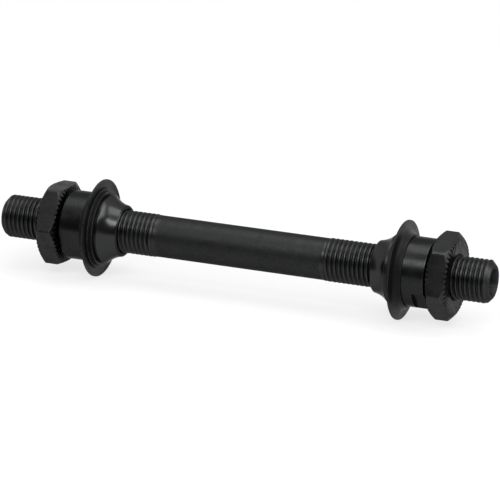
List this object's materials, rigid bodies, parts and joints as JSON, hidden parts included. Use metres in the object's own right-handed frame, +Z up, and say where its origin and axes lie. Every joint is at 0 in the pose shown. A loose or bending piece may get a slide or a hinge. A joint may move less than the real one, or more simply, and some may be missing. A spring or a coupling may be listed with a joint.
{
  "type": "bicycle hub axle",
  "caption": "Hollow front wheel axle, threaded at both ends, with bearing cones, flared dust seals and hexagon locknuts.",
  "frame": {"origin": "middle of the axle, on its centre line", "axes": "+X along the axle towards its right end, the end nearer the viewer in the picture; +Z up"},
  "size_m": [0.108, 0.0206, 0.0206],
  "materials": {
    "axle_steel": "satin black oxide",
    "cone_steel": "polished, blackened",
    "locknut_steel": "satin black oxide",
    "seal_rubber": "matte black"
  },
  "bodies": {
    "axle": {"axle": "axle_steel"},
    "left_cone_and_seal": {"left_cone": "cone_steel", "left_seal": "seal_rubber"},
    "left_locknut": {"left_locknut": "locknut_steel"},
    "right_cone_and_seal": {"right_cone": "cone_steel", "right_seal": "seal_rubber"},
    "right_locknut": {"right_locknut": "locknut_steel"}
  },
  "joints": [
    {"name": "left_cone_travel", "type": "slide", "parent": "axle", "child": "left_cone_and_seal", "axis": [1, 0, 0], "range_m": [0, 0.007]},
    {"name": "left_locknut_travel", "type": "slide", "parent": "axle", "child": "left_locknut", "axis": [-1, 0, 0], "range_m": [0, 0.01]},
    {"name": "right_cone_travel", "type": "slide", "parent": "axle", "child": "right_cone_and_seal", "axis": [-1, 0, 0], "range_m": [0, 0.01]},
    {"name": "right_locknut_travel", "type": "slide", "parent": "axle", "child": "right_locknut", "axis": [1, 0, 0], "range_m": [0, 0.008]}
  ]
}
